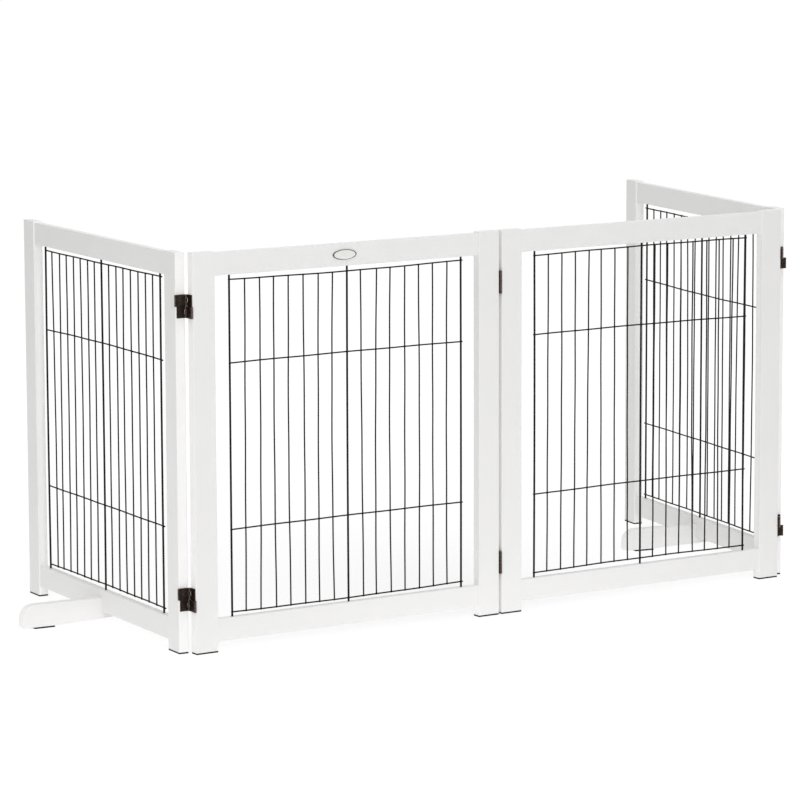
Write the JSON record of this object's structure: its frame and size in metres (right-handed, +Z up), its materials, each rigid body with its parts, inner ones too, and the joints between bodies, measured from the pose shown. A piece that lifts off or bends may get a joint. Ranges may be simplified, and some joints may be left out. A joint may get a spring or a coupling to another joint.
{
  "type": "folding pet gate",
  "caption": "Free-standing folding pet gate: white wood-framed wire panels on two-way hinges, with a board foot on each wing and a bare oval plaque.",
  "frame": {"origin": "middle of the standing gate's footprint, on the floor", "axes": "+X along the front panels to the viewer's right, +Y to the back where the wings go, +Z up"},
  "size_m": [1.35, 0.5718, 0.61],
  "materials": {
    "painted_wood": "satin white paint over wood",
    "coated_wire": "black powder coat",
    "bare_wood": "unfinished beech",
    "pad_rubber": "matt black",
    "hinge_metal": "dark bronze plating",
    "pin_steel": "dark bronze plating",
    "screw_steel": "plated steel",
    "plaque_metal": "fine brushed"
  },
  "bodies": {
    "left_wing": {"left_joint_left_leaves": "hinge_metal", "left_joint_upper_links": "hinge_metal", "left_wing_bottom_rail": "painted_wood", "left_wing_dowels": "bare_wood", "left_wing_foot": "painted_wood", "left_wing_foot_pad": "pad_rubber", "left_wing_foot_screws": "screw_steel", "left_wing_grille": "coated_wire", "left_wing_hinge_pins": "pin_steel", "left_wing_hinge_screws": "screw_steel", "left_wing_left_stile": "painted_wood", "left_wing_right_stile": "painted_wood", "left_wing_stile_pads": "pad_rubber", "left_wing_top_rail": "painted_wood"},
    "front_left": {"front_left_bottom_rail": "painted_wood", "front_left_dowels": "bare_wood", "front_left_grille": "coated_wire", "front_left_hinge_pins": "pin_steel", "front_left_hinge_screws": "screw_steel", "front_left_left_stile": "painted_wood", "front_left_right_stile": "painted_wood", "front_left_stile_pads": "pad_rubber", "front_left_top_rail": "painted_wood", "left_joint_lower_links": "hinge_metal", "left_joint_right_leaves": "hinge_metal", "middle_joint_left_leaves": "hinge_metal", "plaque": "plaque_metal"},
    "front_right": {"front_right_bottom_rail": "painted_wood", "front_right_dowels": "bare_wood", "front_right_grille": "coated_wire", "front_right_hinge_pins": "pin_steel", "front_right_hinge_screws": "screw_steel", "front_right_left_stile": "painted_wood", "front_right_right_stile": "painted_wood", "front_right_stile_pads": "pad_rubber", "front_right_top_rail": "painted_wood", "middle_joint_right_leaves": "hinge_metal", "right_joint_left_leaves": "hinge_metal", "right_joint_upper_links": "hinge_metal"},
    "right_wing": {"right_joint_lower_links": "hinge_metal", "right_joint_right_leaves": "hinge_metal", "right_wing_bottom_rail": "painted_wood", "right_wing_dowels": "bare_wood", "right_wing_foot": "painted_wood", "right_wing_foot_pad": "pad_rubber", "right_wing_foot_screws": "screw_steel", "right_wing_grille": "coated_wire", "right_wing_hinge_pins": "pin_steel", "right_wing_hinge_screws": "screw_steel", "right_wing_left_stile": "painted_wood", "right_wing_right_stile": "painted_wood", "right_wing_stile_pads": "pad_rubber", "right_wing_top_rail": "painted_wood"},
    "middle_upper_links": {"middle_joint_upper_links": "hinge_metal"},
    "middle_lower_links": {"middle_joint_lower_links": "hinge_metal"}
  },
  "joints": [
    {"name": "left_wing_fold", "type": "hinge", "parent": "front_left", "child": "left_wing", "pos_m": [-0.54238, -0.26654, 0.0835], "axis": [0, 0, -1], "range_deg": [-93.4, 86.6]},
    {"name": "front_fold_forward", "type": "hinge", "parent": "front_left", "child": "middle_upper_links", "pos_m": [0.01263, -0.28374, 0.0835], "axis": [0, 0, 1], "range_deg": [-90, 0]},
    {"name": "front_fold_back", "type": "hinge", "parent": "middle_upper_links", "child": "front_right", "pos_m": [0.01263, -0.26654, 0.0835], "axis": [0, 0, 1], "range_deg": [0, 90]},
    {"name": "lower_link_turn", "type": "hinge", "parent": "front_left", "child": "middle_lower_links", "pos_m": [0.01263, -0.26654, 0.0835], "axis": [0, 0, 1], "range_deg": [0, 90]},
    {"name": "right_wing_fold", "type": "hinge", "parent": "front_right", "child": "right_wing", "pos_m": [0.56763, -0.26654, 0.0835], "axis": [0, 0, 1], "range_deg": [-80.5, 59.5]}
  ],
  "couplings": [
    {"joint": "lower_link_turn", "follows": "front_fold_back", "ratio": 1}
  ]
}
